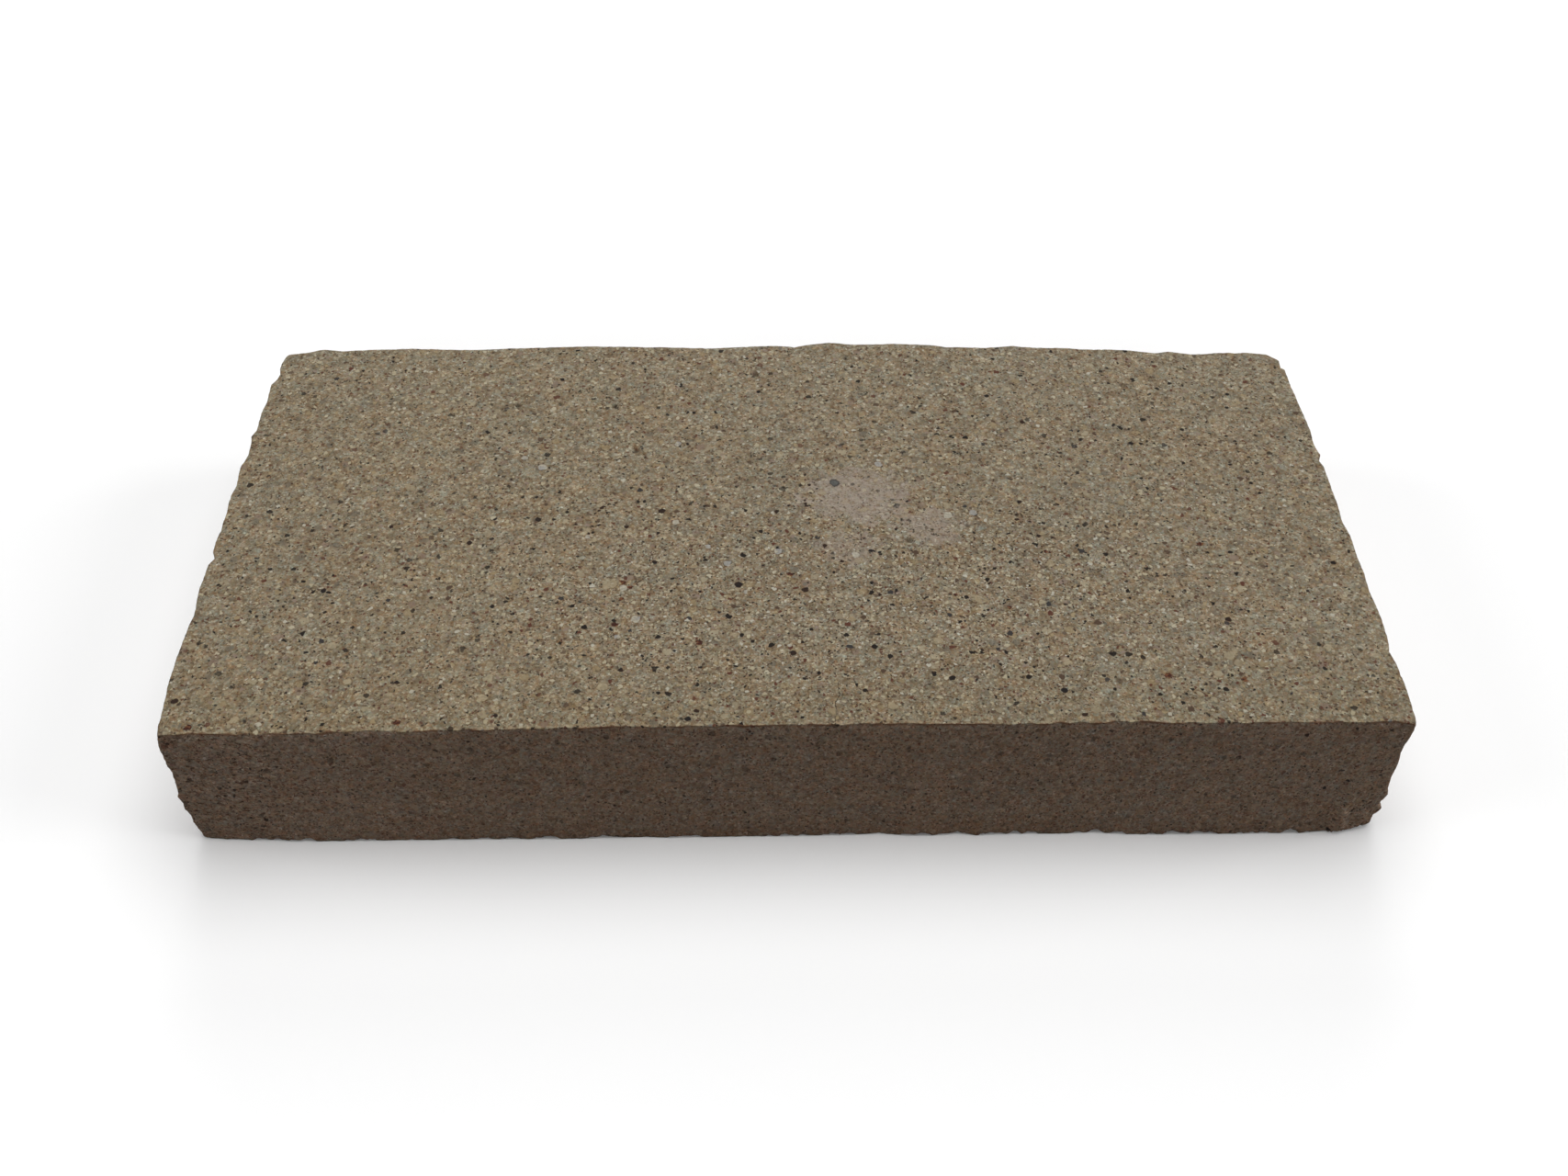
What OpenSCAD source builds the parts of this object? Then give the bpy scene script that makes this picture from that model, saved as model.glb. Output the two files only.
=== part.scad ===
// Firebrick, split format: one dense pressed and fired block of fireclay.
//
// The brick lies on its lower bed face. Length runs along X, width along Y,
// thickness along Z, and the origin is the middle of the lower bed face.
// The front stretcher face looks towards -Y.

/* [Brick] */

// Length, along the stretcher faces
brick_l = 230; // [150:1:305]

// Width, across the header faces
brick_w = 114; // [75:1:152]

// Thickness, from bed face to bed face
brick_h = 32; // [25:1:76]

/* [Arrises] */

// Width of the worn bevel along every edge of the block
arris = 0.6; // [0.3:0.1:2]

/* [Corner chips] */

// Chip at the lower front right corner: reach along the length, width and thickness
chip_low_front_right = [6.5, 3.5, 3]; // [1:0.5:12]

// Chip at the lower front left corner
chip_low_front_left = [2.5, 3, 8]; // [1:0.5:12]

// Chip at the lower back right corner
chip_low_back_right = [3, 2, 2.5]; // [1:0.5:12]

// Chip at the lower back left corner
chip_low_back_left = [2, 4, 2]; // [1:0.5:12]

// Chip at the upper front right corner
chip_top_front_right = [1.5, 1.5, 2]; // [1:0.5:12]

// Chip at the upper front left corner
chip_top_front_left = [2, 2, 3]; // [1:0.5:12]

// Chip at the upper back right corner
chip_top_back_right = [4.5, 6, 3]; // [1:0.5:12]

// Chip at the upper back left corner
chip_top_back_left = [3, 9, 2.5]; // [1:0.5:12]

/* [Hidden] */

// What the bevel leaves of a chip is measured from the sharp corner of the block.
// Each row is the corner's side along X, Y and Z, and the chip's reach from it.
CHIPS = [
    [[ 1, -1, -1], chip_low_front_right],
    [[-1, -1, -1], chip_low_front_left],
    [[ 1,  1, -1], chip_low_back_right],
    [[-1,  1, -1], chip_low_back_left],
    [[ 1, -1,  1], chip_top_front_right],
    [[-1, -1,  1], chip_top_front_left],
    [[ 1,  1,  1], chip_top_back_right],
    [[-1,  1,  1], chip_top_back_left]
];

// A rectangle a by b with its four corners cut off at 45 degrees.
module bevelled_rectangle(a, b, bevel) {
    polygon([
        [-a/2 + bevel, -b/2], [a/2 - bevel, -b/2],
        [a/2, -b/2 + bevel], [a/2, b/2 - bevel],
        [a/2 - bevel, b/2], [-a/2 + bevel, b/2],
        [-a/2, b/2 - bevel], [-a/2, -b/2 + bevel]
    ]);
}

// The pressed block: flat bed, stretcher and header faces, and a bevel on each edge.
module block(l, w, h, bevel) {
    translate([0, 0, h/2])
    intersection() {
        linear_extrude(height = h, center = true)
            bevelled_rectangle(l, w, bevel);
        rotate([90, 0, 0])
            linear_extrude(height = w, center = true)
                bevelled_rectangle(l, h, bevel);
        rotate([90, 0, 90])
            linear_extrude(height = l, center = true)
                bevelled_rectangle(w, h, bevel);
    }
}

// The waste that breaks off at one corner: everything outside the plane that meets
// the corner's three edges at the distances in reach.
module corner_waste(side, reach) {
    n = [side[0]/reach[0], side[1]/reach[1], side[2]/reach[2]];
    tilt = acos(n[2]/norm(n));
    turn = atan2(n[1], n[0]);
    size = 4*max(reach);
    translate([side[0]*(brick_l/2 - reach[0]), side[1]*brick_w/2, brick_h/2 + side[2]*brick_h/2])
        rotate([0, tilt, turn])
            translate([-size, -size, 0])
                cube([2*size, 2*size, size]);
}

module firebrick() {
    color([0.49, 0.445, 0.37])
    difference() {
        block(brick_l, brick_w, brick_h, arris);
        for (chip = CHIPS)
            corner_waste(chip[0], chip[1]);
    }
}

firebrick();
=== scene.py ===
import math

import bpy
import numpy as np
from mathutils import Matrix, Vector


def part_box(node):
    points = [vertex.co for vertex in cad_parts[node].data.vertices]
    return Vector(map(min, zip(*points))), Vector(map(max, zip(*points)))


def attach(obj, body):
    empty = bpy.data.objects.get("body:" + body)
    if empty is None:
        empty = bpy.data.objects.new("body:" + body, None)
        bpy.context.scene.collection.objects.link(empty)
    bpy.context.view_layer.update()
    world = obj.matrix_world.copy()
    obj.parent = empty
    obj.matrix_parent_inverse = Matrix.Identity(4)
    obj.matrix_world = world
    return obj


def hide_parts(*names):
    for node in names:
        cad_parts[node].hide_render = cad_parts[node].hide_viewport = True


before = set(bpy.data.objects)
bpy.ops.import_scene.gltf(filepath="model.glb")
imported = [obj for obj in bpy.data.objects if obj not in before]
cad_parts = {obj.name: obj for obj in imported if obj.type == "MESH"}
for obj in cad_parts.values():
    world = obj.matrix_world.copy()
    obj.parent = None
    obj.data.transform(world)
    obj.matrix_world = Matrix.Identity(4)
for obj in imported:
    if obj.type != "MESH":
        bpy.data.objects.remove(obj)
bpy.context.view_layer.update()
scene = bpy.context.scene

LO, HI = (np.array(c) * 1000.0 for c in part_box("firebrick"))  # the block, in mm
MID = (LO + HI) / 2


# ---------------------------------------------------------------- camera
cam_data = bpy.data.cameras.new("camera")
cam_data.sensor_fit = "HORIZONTAL"
cam_data.sensor_width = 36.0
cam_data.lens = 36.0 * 1833.3 / 1707.0
cam_data.clip_start, cam_data.clip_end = 0.01, 200.0
camera = bpy.data.objects.new("camera", cam_data)
camera.location = (-0.002859, -0.255239, 0.265791)
camera.rotation_euler = (math.radians(90.0 - 44.946), 0.0, math.radians(-0.669))
scene.collection.objects.link(camera)
scene.camera = camera


# ---------------------------------------------------------------- noise, in mm
def hashed(i, j, k, seed):
    h = (i * np.uint32(0x8DA6B343)) ^ (j * np.uint32(0xD8163841)) ^ (k * np.uint32(0xCB1AB31F))
    h = h ^ np.uint32((seed * 0x9E3779B1) & 0xFFFFFFFF)
    h = (h ^ (h >> np.uint32(15))) * np.uint32(0x2C1B3C6D)
    h = (h ^ (h >> np.uint32(12))) * np.uint32(0x297A2D39)
    return h ^ (h >> np.uint32(15))


def noise(p, size, seed):
    """Gradient noise of about -1 to 1 at the points p, with features of the given size."""
    q = p / size
    base = np.floor(q)
    f = q - base
    i = base.astype(np.int64).astype(np.uint32)
    u = f * f * f * (f * (f * 6 - 15) + 10)
    total = np.zeros(len(p))
    for a in (0, 1):
        for b in (0, 1):
            for c in (0, 1):
                h = hashed(i[:, 0] + np.uint32(a), i[:, 1] + np.uint32(b), i[:, 2] + np.uint32(c), seed)
                g = (
                    ((h & 1023) / 511.5 - 1) * (f[:, 0] - a)
                    + ((h >> 10 & 1023) / 511.5 - 1) * (f[:, 1] - b)
                    + ((h >> 20 & 1023) / 511.5 - 1) * (f[:, 2] - c)
                )
                w = (u[:, 0] if a else 1 - u[:, 0]) * (u[:, 1] if b else 1 - u[:, 1])
                total += w * (u[:, 2] if c else 1 - u[:, 2]) * g
    return total * 1.5


def fractal(p, size, seed, octaves=3, gain=0.5):
    total, amp = np.zeros(len(p)), 1.0
    for o in range(octaves):
        total += amp * noise(p, size / 2**o, seed + o)
        amp *= gain
    return total


def cells(p, size, seed):
    """Distance to the nearest of one random point in each cell, in mm."""
    q = p / size
    base = np.floor(q)
    i = base.astype(np.int64).astype(np.uint32)
    f = q - base
    best = np.full(len(p), 9.0)
    for a in (-1, 0, 1):
        for b in (-1, 0, 1):
            for c in (-1, 0, 1):
                h = hashed(i[:, 0] + np.uint32(a & 0xFFFFFFFF), i[:, 1] + np.uint32(b & 0xFFFFFFFF), i[:, 2] + np.uint32(c & 0xFFFFFFFF), seed)
                d = (
                    (a + (h & 1023) / 1023.0 - f[:, 0]) ** 2
                    + (b + (h >> 10 & 1023) / 1023.0 - f[:, 1]) ** 2
                    + (c + (h >> 20 & 1023) / 1023.0 - f[:, 2]) ** 2
                )
                best = np.minimum(best, d)
    return np.sqrt(best) * size


def ramp(x, lo, hi):
    t = np.clip((x - lo) / (hi - lo), 0, 1)
    return t * t * (3 - 2 * t)


# ---------------------------------------------------------------- marks that the brick carries
# Grains that stand out on the top face: place along X and Y, and radius, in mm.
DARK_GRAINS = [
    (-9, -20, 0.95), (-25, 1.5, 0.8), (4, -21.5, 0.75), (51.5, -48.5, 0.85), (54.5, -55, 0.7), (85.5, -30.5, 0.8),
    (-31, -42.5, 0.75), (1.5, -38.5, 0.7), (-16.5, -53, 0.7), (-18, -55.4, 0.65), (-113, -49, 0.8), (-57, -25.5, 0.6),
    (-72.5, -45, 0.6), (-80, -2.5, 0.65), (-90.5, -20.5, 0.65), (-69, -23, 0.6), (-63.5, -7.5, 0.6), (-49, 45.5, 0.7),
    (52.5, 29.5, 0.75), (75, 22.5, 0.7), (95, 15.5, 0.65), (51.6, -6.6, 0.7), (54.4, -7.2, 0.4), (45.1, -14.1, 0.5),
    (50.7, -14.4, 0.45), (40.3, -20.2, 0.45), (41.4, -23, 0.45), (38.7, -27.6, 0.5), (28.9, -13, 0.5), (60.6, -11.6, 0.45),
    (37.3, -38.1, 0.45), (27.7, -44, 0.55), (64.5, -42.6, 0.4), (-4.1, -14.5, 0.5), (-8.9, -4.5, 0.45), (-21, -19.7, 0.35),
    (-5.4, -25.2, 0.4), (-8.7, -25.9, 0.35), (-9.5, -24.3, 0.35), (-21.1, -37.6, 0.45), (-32, -3.1, 0.6), (-25.8, -13.5, 0.55),
    (5.5, 9.3, 0.55), (7.1, 8.2, 0.5), (8.2, -9.1, 0.55), (28.2, 3.8, 0.6), (25.6, 4, 0.4), (24.5, -19.6, 0.45),
    (-53.2, -53.6, 0.5), (-66.4, -55.6, 0.4), (53, 1.5, 0.36), (56.7, 2.9, 0.45), (52.3, -2.9, 0.36), (48.8, -2.2, 0.4),
    (48.9, 3.6, 0.6), (43.5, -3.1, 0.35), (50.1, -6, 0.35), (68.6, -3.3, 0.45), (-34.7, 4.1, 0.45), (-38.2, -2.8, 0.4),
    (-25, 11.9, 0.4), (-42, -14.9, 0.45), (-48.1, -5.2, 0.4), (-20.3, 22.9, 0.5),
]
PALE_GRAINS = [
    (-39.8, -3.9, 0.8), (-78, 9.5, 1.1), (84, -40, 1.2), (53, -41.2, 1.0), (19.5, -52, 0.9),
    (-34, -46.5, 1.0), (-98.5, -51.5, 0.9), (-101, -53.5, 0.9), (-56, -49, 0.9), (-34.6, -19.3, 1.5),
    (37.4, -24.5, 1.0), (29.1, -35.3, 0.9), (69.4, -6.6, 0.9), (52.9, -14.8, 0.8), (34, 2.8, 0.9), (7.9, 6.9, 0.8),
    (16.6, 1.5, 0.7), (19.5, 10.6, 0.6), (-14.5, -26.2, 0.7), (-9.9, -33.6, 0.7),
    (66.4, 13.5, 0.9), (69.7, 6.8, 0.6), (-49.5, 13.3, 0.6), (-20.8, 18, 0.7), (-38.5, -6.8, 0.7),
]
WHITE_GRAINS = [
    (-50.7, 15.6, 0.9), (-54.9, 18.7, 0.7), (-39.8, -6, 0.6), (-22.4, 22.8, 0.7), (-22, -1.9, 0.7), (20.3, 15.7, 0.8),
    (14.4, -11.8, 0.85), (33.8, -0.3, 1.0), (39, 0.5, 0.8), (-11.3, -13.9, 0.8), (-7.6, -22, 0.6), (-1.2, -10.6, 0.8),
    (-15.3, -9.1, 0.6), (-28.8, -29.2, 0.9), (-31.8, -20.7, 0.8), (-32.3, -33.8, 0.6), (0.8, -36.4, 0.5), (51.8, -13.4, 0.5),
]
RUST_GRAINS = [
    (-31.8, -19.2, 0.6), (-30.4, -20.4, 0.45), (15, -26.5, 0.5), (-32.8, -30.7, 0.6), (-16.5, -35.7, 0.6), (85.5, -46, 0.6),
    (71.5, -45, 0.7), (84, -9, 0.6), (33.5, -23.3, 0.45), (-17.3, -25.9, 0.45), (-31.9, -23.7, 0.4), (1.2, -17.2, 0.45),
    (43.7, -26.9, 0.5), (-109, -55.6, 0.7), (-71, -54.8, 0.6), (42.1, -34.5, 0.45), (52.5, -11.4, 0.45), (53.4, -11.3, 0.35),
]
# One large dark grain with a darker rim: its paler middle is a painted highlight on its rounded top.
RIMMED = [(10.9, 10, 1.05)]
# Dark grains and small cavities on the front face: place along X and Z, and radius.
FRONT_GRAINS = [
    (-37.2, 31.0, 0.4), (-14.4, 31.1, 0.45), (-6.7, 30.3, 0.45), (-20.8, 29.8, 0.35), (-32.4, 25.7, 0.3), (-25.5, 21, 0.35),
    (-10.4, 25.3, 0.35), (-32.7, 9.9, 0.45), (-22.3, 7, 0.45), (-17.5, 3.4, 0.35), (-58.2, 28.7, 0.45), (-71.8, 31.2, 0.45),
    (-99.7, 6.8, 0.7), (-102.5, 7.1, 0.5), (-99.8, 29.1, 0.45), (-100.8, 26.2, 0.6), (-108.9, 22.1, 0.6), (-103.8, 15.6, 0.45),
    (-93.4, 28.8, 0.4), (-113.2, 29.3, 0.5), (-106.2, 13.5, 0.45), (-98.3, 4.1, 0.5), (95.5, 28.5, 0.75), (104.3, 30.3, 0.55),
    (110.6, 29.8, 0.5), (110.3, 24.6, 0.35), (101.9, 13.6, 0.55), (101.1, 11.6, 0.45), (105.9, 15.8, 0.5), (105.2, 0.9, 0.6),
    (110.3, 9.4, 0.5), (108.8, 6.4, 0.6), (-14.5, 14.7, 0.45), (98.3, 27.4, 0.35),
]
# Hairline cracks that cross the front arris: distance back from it along the top, or down the front face where the
# number is below 0, and place along X.
CRACKS = [
    [(14, 10.6), (13, 10.5), (10.5, 9.6), (8, 9.8), (5.5, 8.9), (3.5, 9.2), (1.5, 8.8), (0, 9.0), (-1.5, 8.9)],
    [(-5.2, 4.9), (-6.0, 5.3), (-6.8, 5.9), (-7.4, 6.6), (-8.2, 6.9), (-9.3, 6.9)],
    [(4.4, -30.9), (3, -30.4), (1.6, -30.8), (0, -30.2), (-1, -30.4), (-2.2, -30.0)],
]
# Faint ones in the middle of the top. The first runs along Y and gives X, the second runs along X and gives Y.
SEAM_BACK = [(-14.6, 28.8), (-12.5, 28.9), (-10.4, 29.4), (-8.2, 29.3), (-6.1, 29.6)]
SEAM_ALONG = [(-55.8, 2.1), (-53.5, 1.7), (-51, 1.4), (-49.3, 1.3), (-47.8, 1.8), (-45.6, 2.1)]

top_z = float(HI[2])
front_y = float(LO[1])


# Places on the top where small dark grains lie close together: centre along X and Y, reach along each, and how many.
CLUSTERS = [(51.5, -2.5, 6.5, 5.5, 24), (-37.5, -1.5, 6.5, 6, 13), (4.5, 3.5, 5, 6, 12), (18, -11, 9, 6, 14), (26, -22, 10, 6, 10)]


def clustered():
    draw = np.random.default_rng(77)
    return [
        (x + dx * draw.normal(0, 0.6), y + dy * draw.normal(0, 0.6), draw.uniform(0.27, 0.48))
        for x, y, dx, dy, n in CLUSTERS
        for _ in range(n)
    ]


def on_top(spots):
    return [(x, y, top_z, r) for x, y, r in spots]


def on_front(spots):
    return [(x, front_y, z, r) for x, z, r in spots]


DARK = np.array(on_top(DARK_GRAINS + clustered()) + on_front(FRONT_GRAINS), float)
DARK[:, 3] *= 0.9
PALE, WHITES, RUST, RIM = (np.array(on_top(s), float) for s in (PALE_GRAINS, WHITE_GRAINS, RUST_GRAINS, RIMMED))


def spot_distance(p, spots, far=3.0):
    """Distance outside the nearest spot, negative inside it, cut off at far."""
    best = np.full(len(p), far)
    for x, y, z, r in spots:
        near = np.abs(p[:, 0] - x) < far + r
        near[near] &= np.abs(p[near, 1] - y) < far + r
        d = np.sqrt(((p[near] - (x, y, z)) ** 2).sum(1)) - r
        best[near] = np.minimum(best[near], d)
    return best


def fold(p):
    """Distance from the front arris of the top: above 0 on the top face, below 0 on the front face."""
    up, out = HI[2] - p[:, 2], p[:, 1] - LO[1]
    return np.where(up < 1e-6, out, np.where(out < 1e-6, -up, 99.0))


def seam(run, across, table, far=3.0):
    """Offset to one side or the other of a line across a face, and 1 along the length of the line."""
    steps = np.array(table[:: -1 if table[0][0] > table[-1][0] else 1], float)
    off = np.clip(across - np.interp(run, steps[:, 0], steps[:, 1]), -far, far)
    return off, ramp(run, steps[0, 0] - 0.3, steps[0, 0] + 1.2) * ramp(-run, -steps[-1, 0] - 0.3, -steps[-1, 0] + 1.2)


def nearest_seam(parts):
    off, there = np.full(len(parts[0][0]), 3.0), np.zeros(len(parts[0][0]))
    for o, t in parts:
        take = (np.abs(o) < np.abs(off)) & (t > 0)
        off, there = np.where(take, o, off), np.where(take, t, there)
    return off, there


def cracks_at(p):
    return nearest_seam([seam(fold(p), p[:, 0], table) for table in CRACKS])


def seams_at(p):
    top = p[:, 2] > HI[2] - 1e-6
    parts = seam(p[:, 1], p[:, 0], SEAM_BACK), seam(p[:, 0], p[:, 1], SEAM_ALONG)
    off, there = nearest_seam(parts)
    return off, there * top


# ---------------------------------------------------------------- triangles over the block
def start_mesh():
    """A box of right-angled triangles about 7 mm wide. Each triangle knows the face it is on."""
    n = [max(2, int(round((HI[a] - LO[a]) / 7.2))) for a in range(3)]
    points, quads, faces = [], [], []
    for face in range(6):
        axis, side = face // 2, face % 2
        u, v = [(1, 2), (2, 0), (0, 1)][axis]
        gu, gv = np.linspace(LO[u], HI[u], n[u] + 1), np.linspace(LO[v], HI[v], n[v] + 1)
        U, V = np.meshgrid(gu, gv, indexing="ij")
        P = np.zeros(U.shape + (3,))
        P[..., u], P[..., v], P[..., axis] = U, V, (HI if side else LO)[axis]
        at = len(points)
        points.extend(P.reshape(-1, 3))
        w = n[v] + 1
        for i in range(n[u]):
            for j in range(n[v]):
                a, b, c, d = at + i * w + j, at + (i + 1) * w + j, at + (i + 1) * w + j + 1, at + i * w + j + 1
                if not side:
                    a, b, c, d = a, d, c, b
                if (i + j) % 2:
                    quads += [(a, b, c), (a, c, d)]
                else:
                    quads += [(b, c, d), (b, d, a)]
                faces += [face, face]
    points = np.array(points)
    _, first, same = np.unique(np.round(points * 1000).astype(np.int64), axis=0, return_index=True, return_inverse=True)
    return points[first], same.reshape(-1)[np.array(quads)], np.array(faces)


def refine(P, T, F, size, rounds=24):
    """Halves triangles across their longest edges until no edge is longer than size says at its middle."""
    for _ in range(rounds):
        E = np.sort(T[:, [[1, 2], [2, 0], [0, 1]]], axis=2)
        key, inv = np.unique(E[..., 0] * np.int64(len(P)) + E[..., 1], return_inverse=True)
        inv = inv.reshape(-1, 3)
        a, b = key // len(P), key % len(P)
        length = np.linalg.norm(P[a] - P[b], axis=1) + key % 1009 * 1e-9
        longest = length[inv].argmax(1)
        rows = np.arange(len(T))
        cut = np.zeros(len(key), bool)
        want = length > size((P[a] + P[b]) / 2)
        cut[inv[rows, longest]] |= want[inv].any(1)
        while True:
            grown = cut.copy()
            grown[inv[rows, longest][cut[inv].any(1)]] = True
            if (grown == cut).all():
                break
            cut = grown
        if not cut.any():
            break
        place = np.full(len(key), -1, np.int64)
        place[cut] = len(P) + np.arange(cut.sum())
        P = np.concatenate([P, (P[a[cut]] + P[b[cut]]) / 2])
        turn = np.stack([longest, (longest + 1) % 3, (longest + 2) % 3], 1)
        V = T[rows[:, None], turn]
        M = place[inv[rows[:, None], turn]]
        v0, v1, v2, m0, m1, m2 = *V.T, *M.T
        none = m0 < 0
        new = [V[none]]
        belongs = [F[none]]

        def add(which, *corners):
            new.append(np.stack([c[which] for c in corners], 1))
            belongs.append(F[which])

        some = ~none
        left, right = some & (m2 >= 0), some & (m1 >= 0)
        add(some & (m2 < 0), v0, v1, m0)
        add(left, v0, m2, m0)
        add(left, m2, v1, m0)
        add(some & (m1 < 0), v0, m0, v2)
        add(right, v0, m0, m1)
        add(right, m1, m0, v2)
        T, F = np.concatenate(new), np.concatenate(belongs)
    return P, T, F


def edge_distance(p):
    """Distance to the nearest of the block's twelve edges, for points on its faces."""
    d = np.sort(np.minimum(p - LO, HI - p), axis=1)
    return np.hypot(d[:, 0], d[:, 1])


rng = np.random.default_rng(411)


def scatter_pits():
    """Centre and radius of each pit that is deep enough to be a shape."""
    made = []
    for axis in range(3):
        u, v = [(1, 2), (2, 0), (0, 1)][axis]
        for side in (0, 1):
            area = (HI[u] - LO[u]) * (HI[v] - LO[v])
            for _ in range(int(area / 900)):
                p = np.zeros(3)
                p[u] = rng.uniform(LO[u] + 3, HI[u] - 3)
                p[v] = rng.uniform(LO[v] + 3, HI[v] - 3)
                r = rng.uniform(0.5, 1.0)
                out = rng.uniform(0.3, 0.65) * r
                p[axis] = (HI[axis] + out) if side else (LO[axis] - out)
                made.append((*p, r))
    return made


PITS = np.array(scatter_pits())


def roughness_at(p):
    """1 where the skin of the front face has come away: all along its left end, and low on its right."""
    left = ramp(-p[:, 0], 84, 100)
    right = ramp(p[:, 0], 100, 108) * ramp(-p[:, 2], -13, -7)
    return np.maximum(left, right) * ramp(-p[:, 1], 54, 56.5)


def size_at(p):
    """The longest edge that a triangle may have at each point. Halving gives sides of 7.1, 5.1, 3.6, 2.5, 1.8 ... mm."""
    d = edge_distance(p)
    under = p[:, 2] < LO[2] + 1e-6
    on_the_top = p[:, 2] > HI[2] - 1e-6
    in_front = p[:, 1] < LO[1] + 1e-6
    h = np.where(d < 0.75, 0.48, np.where(d < 1.6, 0.68, np.where(d < 3.2, 0.96, np.where(d < 6.5, 1.38, 1.92))))
    h = np.where(in_front, np.minimum(h, 1.38), h)
    h = np.where(p[:, 2] < 2.0, np.where(d < 0.75, 0.68, np.where(d < 1.8, 0.96, np.where(d < 4, 1.38, np.where(under, 2.72, 1.92)))), h)
    h = np.where(in_front & (d < 1.2), 0.68, h)
    ridge = np.hypot(p[:, 1] - LO[1], p[:, 2] - HI[2])
    h = np.where((on_the_top | in_front) & (ridge < 0.65), 0.345, h)
    h = np.where(roughness_at(p) > 0.3, np.minimum(h, 0.96), h)
    for spots, reach in ((DARK, 0.2), (PALE, 0.2), (WHITES, 0.2), (RUST, 0.2), (RIM, 0.3), (PITS, 0.1)):
        h = np.minimum(h, np.where(spot_distance(p, spots) < reach, 0.48, 9))
    off, there = cracks_at(p)
    h = np.where((there > 0) & (np.abs(off) < 0.7), np.minimum(h, 0.68), h)
    off, there = seams_at(p)
    return np.where((there > 0) & (np.abs(off) < 0.8), np.minimum(h, 0.96), h)


# ---------------------------------------------------------------- the shape of the real block, in mm
def curve(x, table):
    xs, ys = zip(*table)
    return np.interp(x, xs, ys)


# How far the worn faces lie inside the plain block. Broad tables hold the warp of firing, which carries on across a
# face; the others follow the ragged arrises, and fade away from them.
BACK_BROAD = [(-115, 0.3), (-104, 0.0), (-90, -0.2), (-40, -0.5), (0, -0.45), (35, -0.4), (60, 0.1), (74, 0.6), (84, 1.3), (95, 1.8), (115, 2.2)]
BACK_EDGE = [
    (-115, 1.2), (-112, 0.5), (-108, 0.19), (-105, -0.51), (-100, -0.12), (-94, -0.41), (-85, -0.66), (-73, -0.17),
    (-64, -0.38), (-52, -0.71), (-43, -0.86), (-25, -0.41), (-16, -0.11), (-7, -0.49), (-2, -0.66), (3, -0.32), (8, -1.06),
    (11, -1.41), (17, -0.82), (26, -0.96), (35, -0.5), (38, -0.11), (47, 0.13), (53, -0.29), (59, 0.24), (65, 0.33),
    (68, 0.59), (74, 0.74), (80, 1.04), (83, 1.4), (86, 1.78), (89, 1.36), (95, 2.18), (98, 1.9), (101, 1.75), (107, 1.77),
    (112, 2.3), (115, 2.8),
]
FRONT_DROP = [(-115, 0.3), (-105, 0.38), (-95, 0.6), (-85, 0.34), (-76, 0.1), (-65, 0.1), (-58, 0.0), (115, 0.0)]
FRONT_LEAN = [
    (-115, 0.0), (-86, 0.0), (-75, 0.15), (-65, 0.0), (-55, 0.3), (-40, 0.55), (-25, 0.65), (-5, 0.65), (15, 0.85), (25, 0.7),
    (35, 0.45), (50, 0.6), (65, 0.76), (72, 0.3), (80, 0.18), (105, 0.18), (115, 0.1),
]
CREST = [
    (-114, -0.4), (-113.1, 0.02), (-111.2, -0.08), (-109.2, 0.39), (-108, 0.6), (-106.5, 0.27), (-102, 0.42), (-99.8, -0.28),
    (-98.5, 0.62), (-97.3, 0.53), (-96.4, -0.06), (-95.4, 0.54), (-93.5, 0.6), (-91.4, 0.1), (-86.6, 0.33), (-85.4, -0.21),
    (-84.2, 0.51), (-82.6, 0.55), (-80.4, 0.16), (-79.2, 0.54), (-77.6, 0.29), (-76.1, 0.57), (-69.6, -0.17), (-63.2, 0.52),
    (-60, 0.02), (-57.8, 0.41), (-57.1, -0.09), (-54, -0.38), (-52.7, 0.22), (-51.5, -0.19), (-48, 0.16), (-47.1, -0.26),
    (-45.9, 0), (-44, -0.26), (-40.1, 0.31), (-39.2, -0.19), (-38.3, 0.17), (-37.3, -0.4), (-32.8, 0.28), (-26.6, 0.25),
    (-24.1, -0.3), (-23, 0.16), (-19.2, -0.1), (-18, 0.5), (-17, 0.2), (-13.5, -0.13), (-12.1, 0.01), (-10.5, 0.6), (-7.9, 0),
    (1.3, 0.33), (3.1, 0.04), (4.3, 0.5), (5.9, -0.09), (8.3, 0.04), (9.7, -0.36), (14.2, 0.46), (15.6, -0.05), (16.7, 0.31),
    (18.5, 0), (22.4, 0.39), (25.1, 0.02), (35.5, 0.34), (40.6, -0.22), (44.6, 0.29), (45.5, -0.17), (47.1, -0.24), (50, 0.51),
    (51.4, -0.26), (52.9, 0.41), (54.4, 0.4), (55.4, -0.12), (58.2, -0.18), (60.1, 0.6), (62.7, 0), (64.9, 0.42), (70.1, -0.15),
    (71.2, 0.28), (72.2, -0.15), (73.2, 0.6), (76.9, 0.15), (81.6, 0.54), (83.8, -0.06), (85.5, 0.55), (89.3, 0.17), (91.6, 0.51),
    (97.3, -0.1), (98.3, 0.44), (99.3, -0.1), (100.8, 0.6), (102.1, 0), (106.4, -0.02), (108.5, 0.49), (109.8, 0.29),
    (111.2, 0.6), (112.4, -0.3), (114, -0.4),
]
FRONT_FOOT = [
    (-115, -0.5), (-109, 0.13), (-100, 0.48), (-95, 0.79), (-75, 0.66), (-40, 0.74), (-28, 0.43), (-22, 0.71), (-6, 0.5),
    (-1, 0.61), (3, 0.48), (11, 0.44), (18, 0.09), (25, 0.84), (31, 0.56), (33, 0.24), (37, 0.82), (44, 0.5), (53, 0.6),
    (60, 0.34), (66, 0.94), (76, 1), (100, 1.02), (105, 0.52), (107, 1.73), (109, 0.63), (111, 0.47), (115, -0.9),
]
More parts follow.
